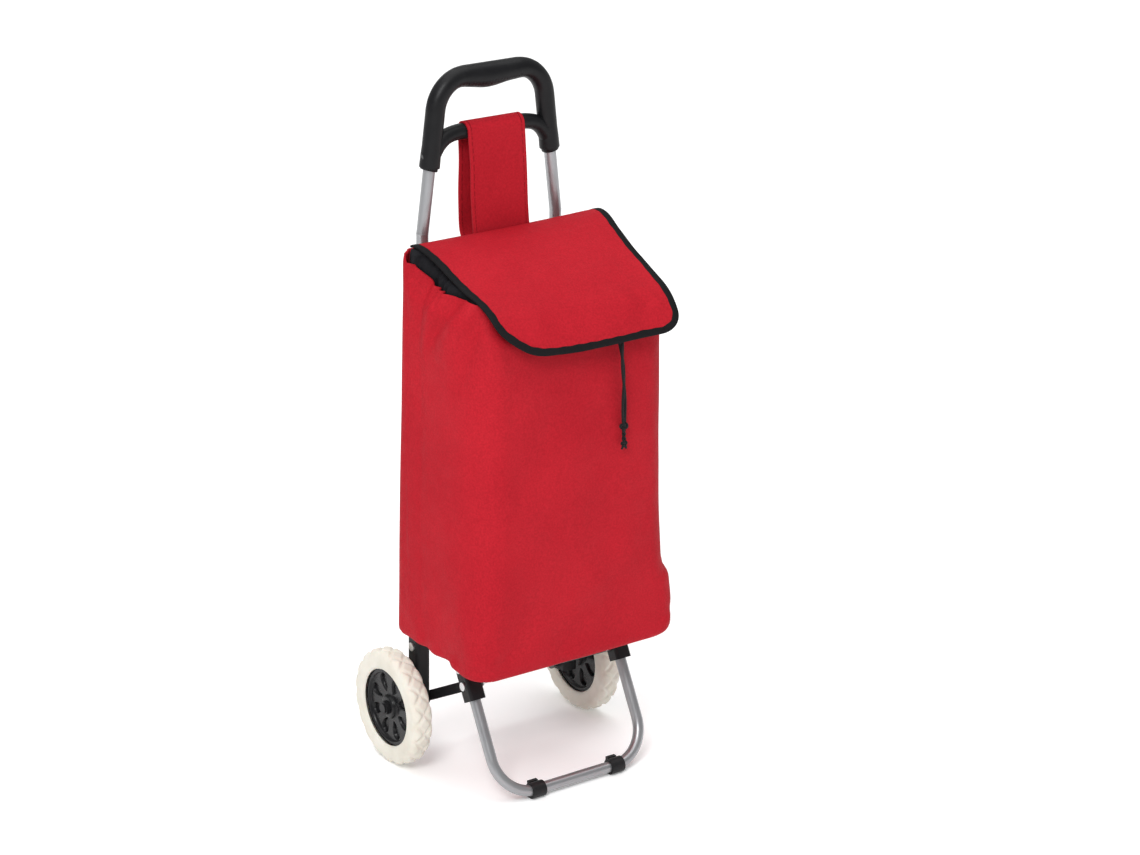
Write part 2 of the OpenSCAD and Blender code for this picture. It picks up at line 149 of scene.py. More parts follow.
def tube(name, line, radii, sides, up=(0, 1, 0), closed=False):
    """A tube along a line: an open one has flat ends."""
    p = tube_points(line, radii, sides, up, closed)
    n = len(p)
    verts = list(p.reshape(-1, 3))
    faces = grid_faces(n, sides, True)
    if closed:
        last = (n - 1) * sides
        faces += [(last + j, last + (j + 1) % sides, (j + 1) % sides, j) for j in range(sides)]
    else:
        faces += end_faces(n, sides)
    return piece(name, verts, faces)


def join(name, objects):
    """One mesh in place of several."""
    verts, faces = [], []
    for o in objects:
        start = len(verts)
        verts += [v.co.copy() for v in o.data.vertices]
        faces += [tuple(start + k for k in p.vertices) for p in o.data.polygons]
        bpy.data.objects.remove(o)
    return piece(name, verts, faces)


def thicken(o, depth, offset):
    """Gives cloth its thickness in metres: offset -1 adds it behind the surface, 0 on both sides."""
    m = o.modifiers.new("thick", "SOLIDIFY")
    m.thickness, m.offset = depth, offset


def ease(a, b, t):
    """0 at a and 1 at b, with a soft start and end."""
    t = np.clip((np.asarray(t, float) - a) / (b - a), 0, 1)
    return t * t * (3 - 2 * t)


def wander(points, scale, seed):
    """Soft noise from -1 to 1 at each point; scale is the size of its waves along each axis."""
    s = np.array(scale, float)
    flat = np.asarray(points, float).reshape(-1, 3) / s + seed * 17.3
    return np.array([noise.noise(Vector(q)) for q in flat]).reshape(np.asarray(points).shape[:-1])


def along(table, t):
    """Values read off a table of (place, values...) at each t."""
    table = np.array(table, float)
    return np.stack([np.interp(t, table[:, 0], table[:, k]) for k in range(1, table.shape[1])], -1)


def frame_y(z):
    """Where the uprights' plane is at a height."""
    return FRAME_Y_AT_AXLE - (z - AXLE_Z) * math.tan(LEAN)


# ---- Materials ----

class Mat:
    """A material's nodes, added one at a time."""

    def __init__(self, name, color, rough, metal=0.0, **more):
        self.m = bpy.data.materials.new(name)
        self.m.use_nodes = True
        self.t = self.m.node_tree
        self.b = self.t.nodes["Principled BSDF"]
        self.b.inputs["Base Color"].default_value = (*color, 1)
        self.b.inputs["Roughness"].default_value = rough
        self.b.inputs["Metallic"].default_value = metal
        for k, v in more.items():
            self.b.inputs[k.replace("_", " ")].default_value = v
        self.where = self.n("ShaderNodeTexCoord").outputs["Object"]
        self.height = None

    def n(self, kind, **sets):
        node = self.t.nodes.new(kind)
        for k, v in sets.items():
            setattr(node, k, v)
        return node

    def link(self, a, b):
        self.t.links.new(a, b)

    def math(self, op, a, b=None):
        node = self.n("ShaderNodeMath", operation=op)
        for i, v in enumerate((a, b)):
            if v is None:
                continue
            if isinstance(v, (int, float)):
                node.inputs[i].default_value = v
            else:
                self.link(v, node.inputs[i])
        return node.outputs[0]

    def scaled(self, s):
        node = self.n("ShaderNodeVectorMath", operation="MULTIPLY")
        self.link(self.where, node.inputs[0])
        node.inputs[1].default_value = s
        return node.outputs[0]

    def noise(self, scale, detail=4, stretch=None):
        node = self.n("ShaderNodeTexNoise")
        node.inputs["Scale"].default_value = scale
        node.inputs["Detail"].default_value = detail
        self.link(self.scaled(stretch) if stretch else self.where, node.inputs["Vector"])
        return node.outputs["Fac"]

    def span(self, value, lo, hi, out_lo=0.0, out_hi=1.0):
        node = self.n("ShaderNodeMapRange")
        self.link(value, node.inputs["Value"])
        for k, v in zip(("From Min", "From Max", "To Min", "To Max"), (lo, hi, out_lo, out_hi)):
            node.inputs[k].default_value = v
        return node.outputs["Result"]

    def tint(self, fac, a, b):
        """Colour from a to b by fac."""
        node = self.n("ShaderNodeMix", data_type="RGBA")
        self.link(fac, node.inputs[0])
        node.inputs[6].default_value = (*a, 1)
        node.inputs[7].default_value = (*b, 1)
        return node.outputs[2]

    def mix(self, fac, a, b, blend="MIX"):
        """Blends two colour sockets, or one with a plain colour."""
        node = self.n("ShaderNodeMix", data_type="RGBA", blend_type=blend)
        if isinstance(fac, float):
            node.inputs[0].default_value = fac
        else:
            self.link(fac, node.inputs[0])
        self.link(a, node.inputs[6])
        if isinstance(b, tuple):
            node.inputs[7].default_value = (*b, 1)
        else:
            self.link(b, node.inputs[7])
        return node.outputs[2]

    def parts(self, vector):
        """The X, Y and Z sockets of a vector."""
        node = self.n("ShaderNodeSeparateXYZ")
        self.link(vector, node.inputs[0])
        return node.outputs

    def color(self, socket):
        self.link(socket, self.b.inputs["Base Color"])

    def rough(self, socket):
        self.link(socket, self.b.inputs["Roughness"])

    def bump(self, height, distance, strength=1.0):
        node = self.n("ShaderNodeBump")
        node.inputs["Strength"].default_value = strength
        node.inputs["Distance"].default_value = distance
        self.link(height, node.inputs["Height"])
        if self.height:
            self.link(self.height, node.inputs["Normal"])
        self.height = node.outputs["Normal"]
        self.link(self.height, self.b.inputs["Normal"])


def weave(m, pitch):
    """Height of a plain weave: threads of that pitch along and across each face of the bag."""
    x, y, z = m.parts(m.where)
    k = 2 * math.pi / pitch
    level = m.math("SINE", m.math("MULTIPLY", z, k))
    cross = m.math("SINE", m.math("MULTIPLY", m.math("ADD", x, y), k))
    return m.math("MULTIPLY", level, cross)


def cloth_material(name, color, deep, pitch=0.0011, stitches=None):
    """Woven cloth; stitches gives how far in from each side a seam runs, as a share of the width, and the
    number of stitches along the piece."""
    m = Mat(name, color, 0.62, Specular_IOR_Level=0.06)
    broad = m.span(m.noise(9, 3), 0.35, 0.65)
    fine = m.span(m.noise(420, 3), 0.3, 0.7, 0.35, 1.0)
    base = m.tint(m.math("MULTIPLY", broad, 0.35), color, deep)
    shown = m.mix(0.34, base, fine, "MULTIPLY")
    m.rough(m.span(m.noise(60, 3), 0.3, 0.7, 0.56, 0.7))
    m.bump(weave(m, pitch), 0.00012, 0.5)
    m.bump(m.noise(140, 5), 0.0006, 0.28)
    if stitches:
        seam, number = stitches
        across, down, _ = m.parts(m.n("ShaderNodeUVMap", uv_map="run").outputs[0])
        near = m.math("SUBTRACT", m.math("ABSOLUTE", m.math("SUBTRACT", across, 0.5)), 0.5 - seam)
        row = m.math("LESS_THAN", m.math("ABSOLUTE", near), 0.008)
        dash = m.math("LESS_THAN", m.math("FRACT", m.math("MULTIPLY", down, number)), 0.68)
        both = m.math("MULTIPLY", row, dash)
        m.bump(both, -0.0008, 1.0)
        # the stitch rows are also darkened in colour: painted shade in their dents
        shown = m.mix(m.math("MULTIPLY", both, 0.55), shown, tuple(c * 0.35 for c in color))
    m.color(shown)
    return m.m


def plastic_material(name, color, rough):
    """Moulded plastic with a fine grain."""
    m = Mat(name, color, rough, Specular_IOR_Level=0.2)
    m.color(m.tint(m.span(m.noise(30, 4), 0.3, 0.7), color, tuple(c * 1.35 + 0.003 for c in color)))
    m.rough(m.span(m.noise(90, 4), 0.3, 0.7, rough - 0.05, rough + 0.09))
    m.bump(m.noise(1300, 3), 0.00012, 0.35)
    return m.m


def paint_material(name, color, rough, metal):
    """Smooth paint or bare metal under a thin clear coat."""
    m = Mat(name, color, rough, metal, Coat_Weight=0.25, Coat_Roughness=0.18)
    m.color(m.tint(m.span(m.noise(14, 4), 0.3, 0.7), color, tuple(c * 0.88 for c in color)))
    m.rough(m.span(m.noise(45, 5), 0.3, 0.7, rough - 0.04, rough + 0.1))
    m.bump(m.noise(1800, 2), 0.00005, 0.3)
    return m.m


RED, RED_DEEP = (0.485, 0.015, 0.026), (0.36, 0.008, 0.017)
bag_red = cloth_material("bag_red", RED, RED_DEEP)
strap_red = cloth_material("strap_red", RED, RED_DEEP, stitches=(0.055, 95))
lining = cloth_material("black_lining", (0.018, 0.018, 0.021), (0.010, 0.010, 0.012), 0.0009)
tape = cloth_material("black_tape", (0.012, 0.012, 0.013), (0.007, 0.007, 0.008), 0.0016, (0.13, 300))
silver = paint_material("silver_tube", (0.36, 0.365, 0.378), 0.34, 0.78)
steel = paint_material("bright_steel", (0.66, 0.66, 0.67), 0.28, 0.95)
# black paint for the spacers and screws; on the links, which are silver steel in the bag's shadow, it is
# painted shade
black_paint_and_painted_shade = paint_material("black_paint_and_painted_shade", (0.022, 0.022, 0.024), 0.3, 0.1)
black = plastic_material("black_plastic", (0.009, 0.009, 0.010), 0.4)
hub_black = plastic_material("hub_plastic", (0.008, 0.008, 0.009), 0.22)


def foam_material():
    m = Mat("cream_foam", (0.74, 0.71, 0.63), 0.7, Specular_IOR_Level=0.3, Subsurface_Weight=0.06)
    m.color(m.tint(m.span(m.noise(40, 5), 0.3, 0.75), (0.76, 0.735, 0.66), (0.66, 0.625, 0.54)))
    m.bump(m.noise(420, 4), 0.0003, 0.35)
    return m.m


def board_material():
    m = Mat("fibre_board", (0.30, 0.18, 0.09), 0.75)
    m.color(m.tint(m.noise(120, 6, (1, 0.25, 1)), (0.34, 0.21, 0.11), (0.22, 0.13, 0.065)))
    m.bump(m.noise(500, 4), 0.0003, 0.4)
    return m.m


def braid_material():
    m = Mat("black_cord", (0.007, 0.007, 0.008), 0.6, Sheen_Weight=0.04, Specular_IOR_Level=0.15)
    m.color(m.tint(m.noise(700, 3), (0.006, 0.006, 0.007), (0.014, 0.014, 0.015)))
    m.bump(weave(m, 0.0016), 0.0004, 0.8)
    return m.m


def grip_material():
    """Moulded plastic with rows of small dots on the lower side of the grip."""
    m = Mat("grip_plastic", (0.006, 0.006, 0.007), 0.34, Specular_IOR_Level=0.2)
    m.color(m.tint(m.span(m.noise(30, 4), 0.3, 0.7), (0.005, 0.005, 0.006), (0.009, 0.009, 0.010)))
    m.rough(m.span(m.noise(90, 4), 0.3, 0.7, 0.33, 0.46))
    m.bump(m.noise(1300, 3), 0.00012, 0.35)
    dots = m.n("ShaderNodeTexVoronoi", voronoi_dimensions="2D")
    dots.inputs["Scale"].default_value = 1
    dots.inputs["Randomness"].default_value = 0
    x, _, z = m.parts(m.where)
    flat = m.n("ShaderNodeCombineXYZ")
    m.link(m.math("MULTIPLY", x, 230), flat.inputs[0])
    m.link(m.math("MULTIPLY", z, 260), flat.inputs[1])
    m.link(flat.outputs[0], dots.inputs["Vector"])
    dot = m.span(dots.outputs["Distance"], 0.22, 0.34, 1, 0)
    low = m.span(z, 0.8665, 0.8685, 1, 0)
    high = m.span(z, 0.848, 0.850, 0, 1)
    wide = m.span(m.math("ABSOLUTE", m.math("ADD", x, 0.004)), 0.042, 0.046, 1, 0)
    m.bump(m.math("MULTIPLY", dot, m.math("MULTIPLY", wide, m.math("MULTIPLY", low, high))), 0.0007, 0.9)
    return m.m


foam, board, cord_black, grip_black = foam_material(), board_material(), braid_material(), grip_material()
FINISHES = {
    silver: ["main_frame", "foot_frame", "platform_frame", "handle_pole_left", "handle_pole_right"],
    steel: ["axle", "frame_rivets", "handle_pins", "link_pins", "platform_pins", "bag_bail"],
    # link_left and link_right are silver steel in the bag's shadow: their near-black paint is painted shade
    black_paint_and_painted_shade: ["link_left", "link_right", "axle_spacers", "handle_screws"],
    black: ["axle_bracket_left", "axle_bracket_right", "axle_caps", "fold_joint_left", "fold_joint_right",
            "foot_clip_left", "foot_clip_right", "cord_eyelets"],
}
for material, names in FINISHES.items():
    for name in names:
        NODES[name].data.materials.clear()
        NODES[name].data.materials.append(material)


def finish_piece(o, material, body, slot, *stands_for):
    """Gives a piece its material and its body, and hides the CAD nodes that it stands for."""
    o.data.materials.append(material)
    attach(o, body)
    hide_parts(*stands_for)


# ---- Draw cord: two strands from the eyelets, a knot, a twisted tail and an end knot ----

LEFT_ROUTE = [
    (50, -203, 600), (50, -207, 600), (50.2, -211.5, 595), (51, -214, 588), (52.8, -214.6, 578),
    (55.4, -214.4, 566), (58.2, -214.2, 554), (60.2, -214.2, 542), (60.8, -214.6, 530), (60, -215.4, 518),
    (58.2, -216.6, 506), (57.2, -217, 494), (57.6, -216.4, 482), (58.6, -215.4, 470)]
RIGHT_ROUTE = [
    (57, -203, 600), (57, -207, 600), (57, -212.5, 595), (56.8, -216.5, 588), (56.4, -218.4, 578),
    (55.8, -218.8, 566), (55.6, -218.6, 554), (55.8, -218.2, 542), (57, -217.8, 530), (59, -217, 518),
    (61.4, -215.4, 506), (62.6, -214.4, 494), (62.4, -214.4, 482), (61.4, -215, 470)]
CORD_R = 1.8 * MM


def knotted(name, center, size, thickness, stretch):
    """A small tight knot: one closed strand wound through itself."""
    t = np.linspace(0, 2 * math.pi, 120, endpoint=False)
    line = np.stack([np.sin(t) + 2 * np.sin(2 * t), -np.sin(3 * t),
                     stretch * (np.cos(t) - 2 * np.cos(2 * t))], -1)
    return tube(name, np.array(center) + size / 3 * line, thickness, 10, (0, 1, 0.2), True)


def draw_cord():
    strands, lines = [], []
    for name, route in (("drawcord_strand_left", LEFT_ROUTE), ("drawcord_strand_right", RIGHT_ROUTE)):
        line = smooth_line(np.array(route) * MM, 6)
        strands.append(tube(name, line, CORD_R, 12, (1, 0, 0.01)))
        lines.append(line)
    knot = knotted("drawcord_knot_tied", (0.060, -0.215, 0.464), 0.0044, 0.0019, 1.25)
    thin, twists = 0.0014, []
    for turn in (0, math.pi):
        z = np.linspace(0.4600, 0.4410, 28)
        a = turn + (0.46 - z) * 520
        line = np.stack([0.0601 + thin * np.cos(a), -0.215 + thin * np.sin(a), z], -1)
        twists.append(tube("strand", line, thin, 8, (1, 0, 0.01)))
    tail = join("drawcord_tail_twist", twists)
    ends = [knotted("end", (0.0602, -0.215, 0.4425), 0.0032, 0.0016, 1.1)]
    for side in (-1, 1):
        line = [(0.0602 + side * 0.0012, -0.215, 0.4415), (0.0602 + side * 0.0026, -0.2154, 0.4385),
                (0.0602 + side * 0.0030, -0.2150, 0.4362)]
        ends.append(tube("end", smooth_line(line, 4), thin, 8, (1, 0, 0.01)))
    end = join("drawcord_end_tied", ends)
    for o, node in zip((*strands, knot, tail, end),
                       ("drawcord_left", "drawcord_right", "drawcord_knot", "drawcord_tail", "drawcord_end")):
        finish_piece(o, cord_black, "frame", "black_cord", node)


draw_cord()


# ---- Bag ----

REAR_GAP = 11.6                     # from the uprights' plane to the bag's back
BAG_BOTTOM, BAG_RISE = 182, 470


def bag_rear(z):
    """Where the bag's back is at a height."""
    return frame_y(z) - REAR_GAP


def gather_up(*pieces):
    """Gives each piece its own copy of its mesh; no points are moved."""
    for o in pieces:
        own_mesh(o)


def outline(left, right, rear, front, corners, per_side=(46, 30), per_corner=14):
    """A closed outline of four sides with elliptical corners, as points in order from the rear left.
    corners gives (across, deep) for rear left, front left, front right and rear right."""
    out = []
    spots = [(-left, rear, 1, -1, 90, 180), (-left, front, 1, 1, 180, 270),
             (right, front, -1, 1, 270, 360), (right, rear, -1, -1, 0, 90)]
    arcs = []
    for (x, y, sx, sy, a0, a1), (cx, cy) in zip(spots, corners):
        a = np.radians(np.linspace(a0, a1, per_corner))
        arcs.append(np.stack([x + sx * cx + cx * np.cos(a), y + sy * cy + cy * np.sin(a)], -1))
    for k in range(4):
        out.append(arcs[k])
        a, b = arcs[k][-1], arcs[(k + 1) % 4][0]
        n = per_side[1] if k % 2 == 0 else per_side[0]
        t = np.linspace(0, 1, n + 2)[1:-1, None]
        out.append(a + (b - a) * t)
    return np.concatenate(out)


def rim_height(x, y):
    """Height of the bag's rim in millimetres: it slopes to the front, and dips where the cord pulls it in."""
    z = 676 - 60 * np.clip((-47 - y) / 153, 0, 1) + 6.5 * ease(-66, -52, y)
    side = np.exp(-((y + 92) / 34) ** 2)
    z = z - 11 * side * ease(-95, -130, x) - 5 * side * ease(95, 130, x)
    z = z + 15 * np.exp(-((y + 178) / 24) ** 2) * (ease(-95, -130, x) + ease(95, 130, x))
    return z


def creased(points, normals, creases):
    """Moves points along their normals by ridges, each (from, to, height, width), fading towards its end."""
    out = points.copy()
    for a, b, height, width in creases:
        a, b = np.array(a, float), np.array(b, float)
        d = b - a
        t = np.clip((points - a) @ d / (d @ d), 0, 1)
        away = np.linalg.norm(points - a - t[..., None] * d, axis=-1)
        out += (height * np.exp(-(away / width) ** 2) * (1 - t) ** 0.7)[..., None] * normals
    return out


def normals_of(points, closed):
    """Outward normals of a grid of points."""
    ahead = np.roll(points, -1, 1) - np.roll(points, 1, 1) if closed else np.gradient(points, axis=1)
    rise = np.gradient(points, axis=0)
    n = np.cross(ahead, rise)
    return n / np.maximum(np.linalg.norm(n, axis=-1, keepdims=True), 1e-9)


def bag_wall(shares, insets, lifts):
    """Outlines of the bag: share runs from 0 at the bottom to 1 at the rim, and a row can lie in from the
    wall or be lifted."""
    middle, half = np.array([0, -125.0]), np.array([144, 80.0])
    rows = []
    for share, inset, lift in zip(shares, insets, lifts):
        z = BAG_BOTTOM + share * BAG_RISE
        blend = ease(0.02, 0.35, share)
        left = 149 - 9 * share
        right = 139 + 9 * (1 - ease(0.15, 0.22, share)) + 1.5 * ease(0.7, 1.0, share)
        front = -205 + 5 * share
        corners = [(16, 18), (26 + 18 * blend, 28 + 50 * blend), (24 + 10 * blend, 26 + 18 * blend), (16, 18)]
        p = outline(left, right, bag_rear(z), front, corners)
        if inset:
            p = middle + (p - middle) * (1 - inset / half)
        x, y = p[:, 0], p[:, 1]
        x -= 6 * ease(-130, -50, y) * ease(-60, -135, x)
        low = BAG_BOTTOM - 8.5 * ease(-142, -172, y) + 3.5 * ease(-150, -204, y) * ease(112, 146, x)
        low = low + 7.0 * ease(-120, -60, y) * ease(-90, -140, x)
        rows.append(np.column_stack([x, y, low + share * (rim_height(x, y) - low) + lift]))
    return np.array(rows)


# ---- Flap: its course in y and z at its left edge, middle and right edge, from its hinge to its front ----

LEFT = [(-50, 684), (-61, 685.5), (-83, 680), (-105, 670.5), (-126, 659), (-148, 648.5), (-173, 639.5),
        (-197, 627), (-210, 611), (-219, 597), (-224, 583)]
MIDDLE = [(-50, 684.5), (-63, 685.4), (-85, 683.6), (-108, 676.5), (-132, 666), (-156, 653.5), (-180, 640),
          (-200, 625), (-214, 607), (-222, 590), (-225, 575)]
RIGHT = [(-50, 686), (-63, 690.5), (-85, 689), (-109, 679), (-131, 666), (-153, 652), (-177, 637),
         (-200, 622.5), (-213, 606), (-221.5, 589), (-225, 575)]


def flap():
    """The flap's points in millimetres, from hinge to front and left to right, and its normals."""
    tables = [smooth_line(t, 12) for t in (LEFT, MIDDLE, RIGHT)]
    step = np.linalg.norm(np.diff(tables[1], axis=0), axis=1)
    run = np.concatenate([[0], np.cumsum(step)])
    length = run[-1]
    rows, cols = 84, 90
    t = length * np.sin(np.linspace(0, math.pi / 2, rows))
    edge_l = along([(0, -133), (15, -132), (60, -127), (100, -122), (140, -119), (length, -113)], t)[:, 0]
    edge_r = along([(0, 135), (15, 134), (60, 127), (100, 128), (140, 132), (180, 136),
                    (length, 137)], t)[:, 0]
    for edge, deep, wide, sign in ((edge_l, 54, 56, 1), (edge_r, 24, 26, -1)):
        near = np.clip((t - (length - deep)) / deep, 0, 1)
        edge += sign * wide * (1 - np.sqrt(np.maximum(1 - near ** 2, 0)))
    u = np.linspace(0, 1, cols)
    x = edge_l[:, None] + (edge_r - edge_l)[:, None] * u[None, :]
    yz = [np.stack([np.interp(t, run, tab[:, 0]), np.interp(t, run, tab[:, 1])], -1) for tab in tables]
    to_middle, to_right = ease(-130, 0, x)[..., None], ease(0, 130, x)[..., None]
    side = yz[0][:, None] * (1 - to_middle) + yz[1][:, None] * to_middle
    side = side * (1 - to_right) + yz[2][:, None] * to_right
    p = np.concatenate([x[..., None], side], -1)
    n = -normals_of(p, False)
    loose = ease(20, 120, t)[:, None]
    d = loose * 1.6 * wander(p, (75, 60, 60), 5) + 0.9 * loose * wander(p, (28, 40, 40), 6)
    d += 1.3 * ease(length - 60, length, t)[:, None] * np.sin(x / 19.0 + 0.6) * ease(-120, 120, np.abs(x) * 2)
    p = p + d[..., None] * n
    folds = [((78, -208, 612), (48, -176, 641), 1.6, 6), ((98, -210, 612), (76, -182, 637), -1.5, 6),
             ((115, -212, 608), (98, -190, 630), 1.5, 6), ((-60, -212, 606), (-30, -170, 645), 1.6, 11),
             ((-95, -120, 668), (60, -100, 678), 1.5, 16), ((-60, -80, 684), (70, -130, 666), -1.4, 14)]
    return creased(p, n, folds), n


flap_points, flap_up = flap()
if flap_up[10, 40, 2] < 0:
    flap_up = -flap_up

flap_spots = flap_points.reshape(-1, 3)
flap_tree = kdtree.KDTree(len(flap_spots))
for spot, q in enumerate(flap_spots):
    flap_tree.insert((q[0], q[1], 0), spot)
flap_tree.balance()


def under_flap(points, gap, reach):
    """Lowers points that would come within a gap of the flap above them; reach is how far aside they may be."""
    flat = points.reshape(-1, 3)
    for q in flat:
        _, spot, aside = flap_tree.find((q[0], q[1], 0))
        if aside < reach:
            q[2] = min(q[2], flap_spots[spot][2] - gap)
    return flat.reshape(points.shape)


def bag_shell():
    """The red bag in one cloth, with its bottom. Gives the rim's points."""
    bottom_insets = [78, 62, 46, 30, 16, 9, 5, 2, 0.5]
    bottom_lifts = [0, 0, 0, 0, 0, 0.3, 1.2, 3.4, 6.5]
    wall = 118
    share = np.array([0] * len(bottom_insets) + list(np.linspace(0.022, 1, wall)))
    p = bag_wall(share, bottom_insets + [0] * wall, bottom_lifts + [0] * wall)
    n = normals_of(p, True)
    up = ease(0.02, 0.08, share)[:, None]
    x, y = p[..., 0], p[..., 1]
    # the rim turns inwards and gathers
    gather = ease(0.93, 1.0, share)[:, None]
    round_rim = np.arange(p.shape[1]) * 2 * math.pi / p.shape[1]
    pull = 15 * gather ** 1.4 * (0.25 + 0.75 * ease(-52, -75, y))
    ruffle = 2.2 * gather * np.sin(25 * round_rim + 2.6 * np.sin(5 * round_rim))[None, :]
    d = -pull + ruffle
    # slack cloth: broad swells, tall soft folds and finer crumples towards the bottom
    d = d + up * 3.0 * wander(p, (150, 150, 190), 1)
    d = d + up * 2.6 * wander(p, (46, 46, 210), 2)
    d = d + up * 1.5 * wander(p, (30, 30, 60), 3) * (0.35 + 0.65 * (1 - ease(0.05, 0.3, share))[:, None])
    d = d + 4.0 * np.exp(-((share - 0.42) / 0.3) ** 2)[:, None] * np.exp(-(x / 95) ** 2) * ease(-150, -200, y)
    d = np.where(y > -62, np.minimum(d, 1.2) * 0.4, d)
    p = p + d[..., None] * n
    creases = [
        ((-128, -172, 648), (-146, -128, 560), 12, 12), ((-124, -186, 642), (-140, -160, 530), -11, 10),
        ((-116, -195, 638), (-112, -204, 550), 9, 12), ((-132, -152, 642), (-148, -100, 575), -10, 9),
        ((-104, -199, 630), (-60, -204, 575), -6, 12), ((-134, -118, 642), (-147, -84, 546), 8, 10),
        ((-139, -62, 668), (-146, -72, 600), 4.0, 8), ((-141, -88, 648), (-147, -86, 480), -3.0, 8),
        ((-147, -86, 500), (-149, -92, 250), -1.5, 8), ((-149, -92, 190), (-147, -88, 330), -2.0, 8),
        ((-149, -78, 196), (-149, -100, 300), 1.8, 11), ((-150, -110, 192), (-146, -150, 250), 1.8, 10),
        ((-150, -128, 190), (-138, -190, 205), -2.8, 8), ((-146, -150, 184), (-120, -205, 190), 3.4, 7),
        ((-135, -196, 186), (-90, -205, 214), -2.5, 7), ((-138, -198, 200), (-128, -200, 330), 2.4, 12),
        ((146, -186, 262), (112, -203, 250), -4.0, 6), ((150, -170, 232), (120, -203, 205), 3.2, 9),
        ((146, -198, 205), (136, -200, 182), -4.5, 5), ((140, -203, 196), (110, -205, 184), 3.0, 6),
        ((148, -120, 270), (146, -90, 200), -3.0, 8), ((138, -190, 560), (136, -196, 380), 2.2, 11),
        ((60, -205, 300), (-20, -205, 240), 3.2, 26), ((-70, -205, 420), (10, -205, 560), -3.0, 30),
        ((40, -204, 520), (100, -203, 430), 2.8, 24), ((-20, -205, 200), (40, -205, 250), -3.2, 20),
    ]
    p = creased(p, n, creases)
    p[..., 1] = np.minimum(p[..., 1], bag_rear(p[..., 2]) + 0.2)
    # near the rim it stays under the flap, but for its back, which reaches up to the hinge
    top = p[-26:]
    p[-26:] = np.where(top[:, :, 1:2] < -58, under_flap(top.copy(), 5.0, 5.0), top)
    o = grid("bag_shell", p * MM, True)
    o.data.flip_normals()
    o = with_faces(o, [tuple(range(p.shape[1]))])
    thicken(o, 0.0022, -1)
    finish_piece(o, bag_red, "frame", "bag_cloth", "bag_body")
    gather_up(o)
    return p[-1]


rim = bag_shell()


def bag_lining():
    """Black gathered lining that stands up round the mouth inside the red rim and turns in on its cord."""
    middle = np.array([0, -123.0])
    course = [(0.030, -14), (0.034, -2), (0.05, 6), (0.09, 10.5), (0.15, 11.5), (0.21, 9.5), (0.27, 5.5),
              (0.32, 1), (0.34, -4), (0.325, -8)]
    course = smooth_line([(inset * 100, up) for inset, up in course], 3)
    n, fine = len(rim), 3
    at = np.arange(n * fine) / fine
    ring = np.stack([np.interp(at, np.arange(n + 1), np.append(rim[:, k], rim[0, k])) for k in range(3)], -1)
    a = at / n * 2 * math.pi
    out = (ring[:, :2] - middle) / np.linalg.norm(ring[:, :2] - middle, axis=1, keepdims=True)
    front = ease(-120, -190, ring[:, 1]) * (1 - ease(100, 125, np.abs(ring[:, 0])))
    rows = []
    for inset, up in course:
        inset = inset / 100
        p = ring.copy()
        p[:, :2] = middle + (ring[:, :2] - middle) * (1 - inset)
        p[:, 2] += up * (1 - 0.55 * front)
        fold = np.sin(46 * a + 3.5 * np.sin(7 * a) + 6 * inset * np.sin(13 * a))
        sharp = np.sign(fold) * np.abs(fold) ** 0.6
        size = 2.6 * ease(0.03, 0.15, inset) + 0.6
        p[:, 2] += 0.8 * size * sharp
        p[:, :2] += out * (size * 0.5 * np.sin(29 * a + 4 * inset * 9 + 2 * np.sin(11 * a)))[:, None]
        rows.append(p)
    p = np.array(rows)
    p[..., 2] += 1.2 * wander(p, (14, 14, 14), 9)
    p[..., 1] = np.minimum(p[..., 1], bag_rear(p[..., 2]) - 3.5)
    p = under_flap(p, 3.6, 14.0)
    o = grid("bag_lining", p * MM, True)
    thicken(o, 0.0009, 0)
    finish_piece(o, lining, "frame", "black_cloth", "bag_collar")
    gather_up(o)
    return o, p


lining_piece, lining_points = bag_lining()


def base_board():
    """The stiff board in the bag's bottom, with softened edges."""
    rows = []
    for inset, up in [(70, 3.2), (45, 3.2), (20, 3.2), (3, 3.2), (0.8, 2.9), (0, 2.2), (0, 0.9), (0.8, 0.2),
                      (3, 0), (45, 0), (70, 0)]:
        corners = [(max(20 - inset, 1),) * 2] * 4
        p = outline(140 - inset, 132 - inset, -56 - inset, -194 + inset, corners, (20, 12), 8)
        rows.append(np.column_stack([p, np.full(len(p), 185.2 + up)]))
    p = np.array(rows)
    o = with_faces(grid("base_board_panel", p * MM, True), end_faces(*p.shape[:2]), False)
    finish_piece(o, board, "frame", "board", "base_board")
    gather_up(o)


base_board()


# ---- Hanging loop ----

def hanging_loop():
    """A strap from the bag's back up over the hang bar and down again, by its course in y and z."""
    bar, bend = np.array([-25.6, 806.0]), 11.2
    side = [(-45.2, 642), (-42.5, 648), (-33, 659), (-21, 670), (-14.5, 682), (-12.6, 700), (-12.6, 740),
            (-14.4, 785)]
    side += [tuple(bar + bend * np.array([math.cos(a), math.sin(a)]))
             for a in map(math.radians, range(0, 181, 15))]
    side += [(-37.8, 780), (-39.2, 740), (-41, 710), (-43, 692), (-44.6, 682), (-45.6, 673)]
    line = smooth_line(side, 5)
    cols = 25
    across = np.linspace(-1, 1, cols)
    slack = ease(0, 40, np.minimum(np.abs(line[:, 1] - bar[1]), 40))
    rows = []
    for k, (y, z) in enumerate(line):
        x = 1 + 40.5 * across + 1.2 * math.sin(z / 37)
        q = np.column_stack([x, np.full(cols, y), np.full(cols, z)])
        belly = 0.9 * (1 - across ** 2) * (1 if y < -25 else -1)
        q[:, 1] += slack[k] * (1.3 * wander(q, (38, 60, 48), 4) - belly)
        rows.append(q)
    p = np.array(rows)
    o = grid("hanging_strap", p * MM)
    thicken(o, 0.0022, 0)
    edge = o.modifiers.new("edge", "BEVEL")
    edge.width, edge.segments, edge.angle_limit = 0.0007, 2, 1.0
    finish_piece(o, strap_red, "frame", "bag_cloth", "hanging_loop")
    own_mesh(o)


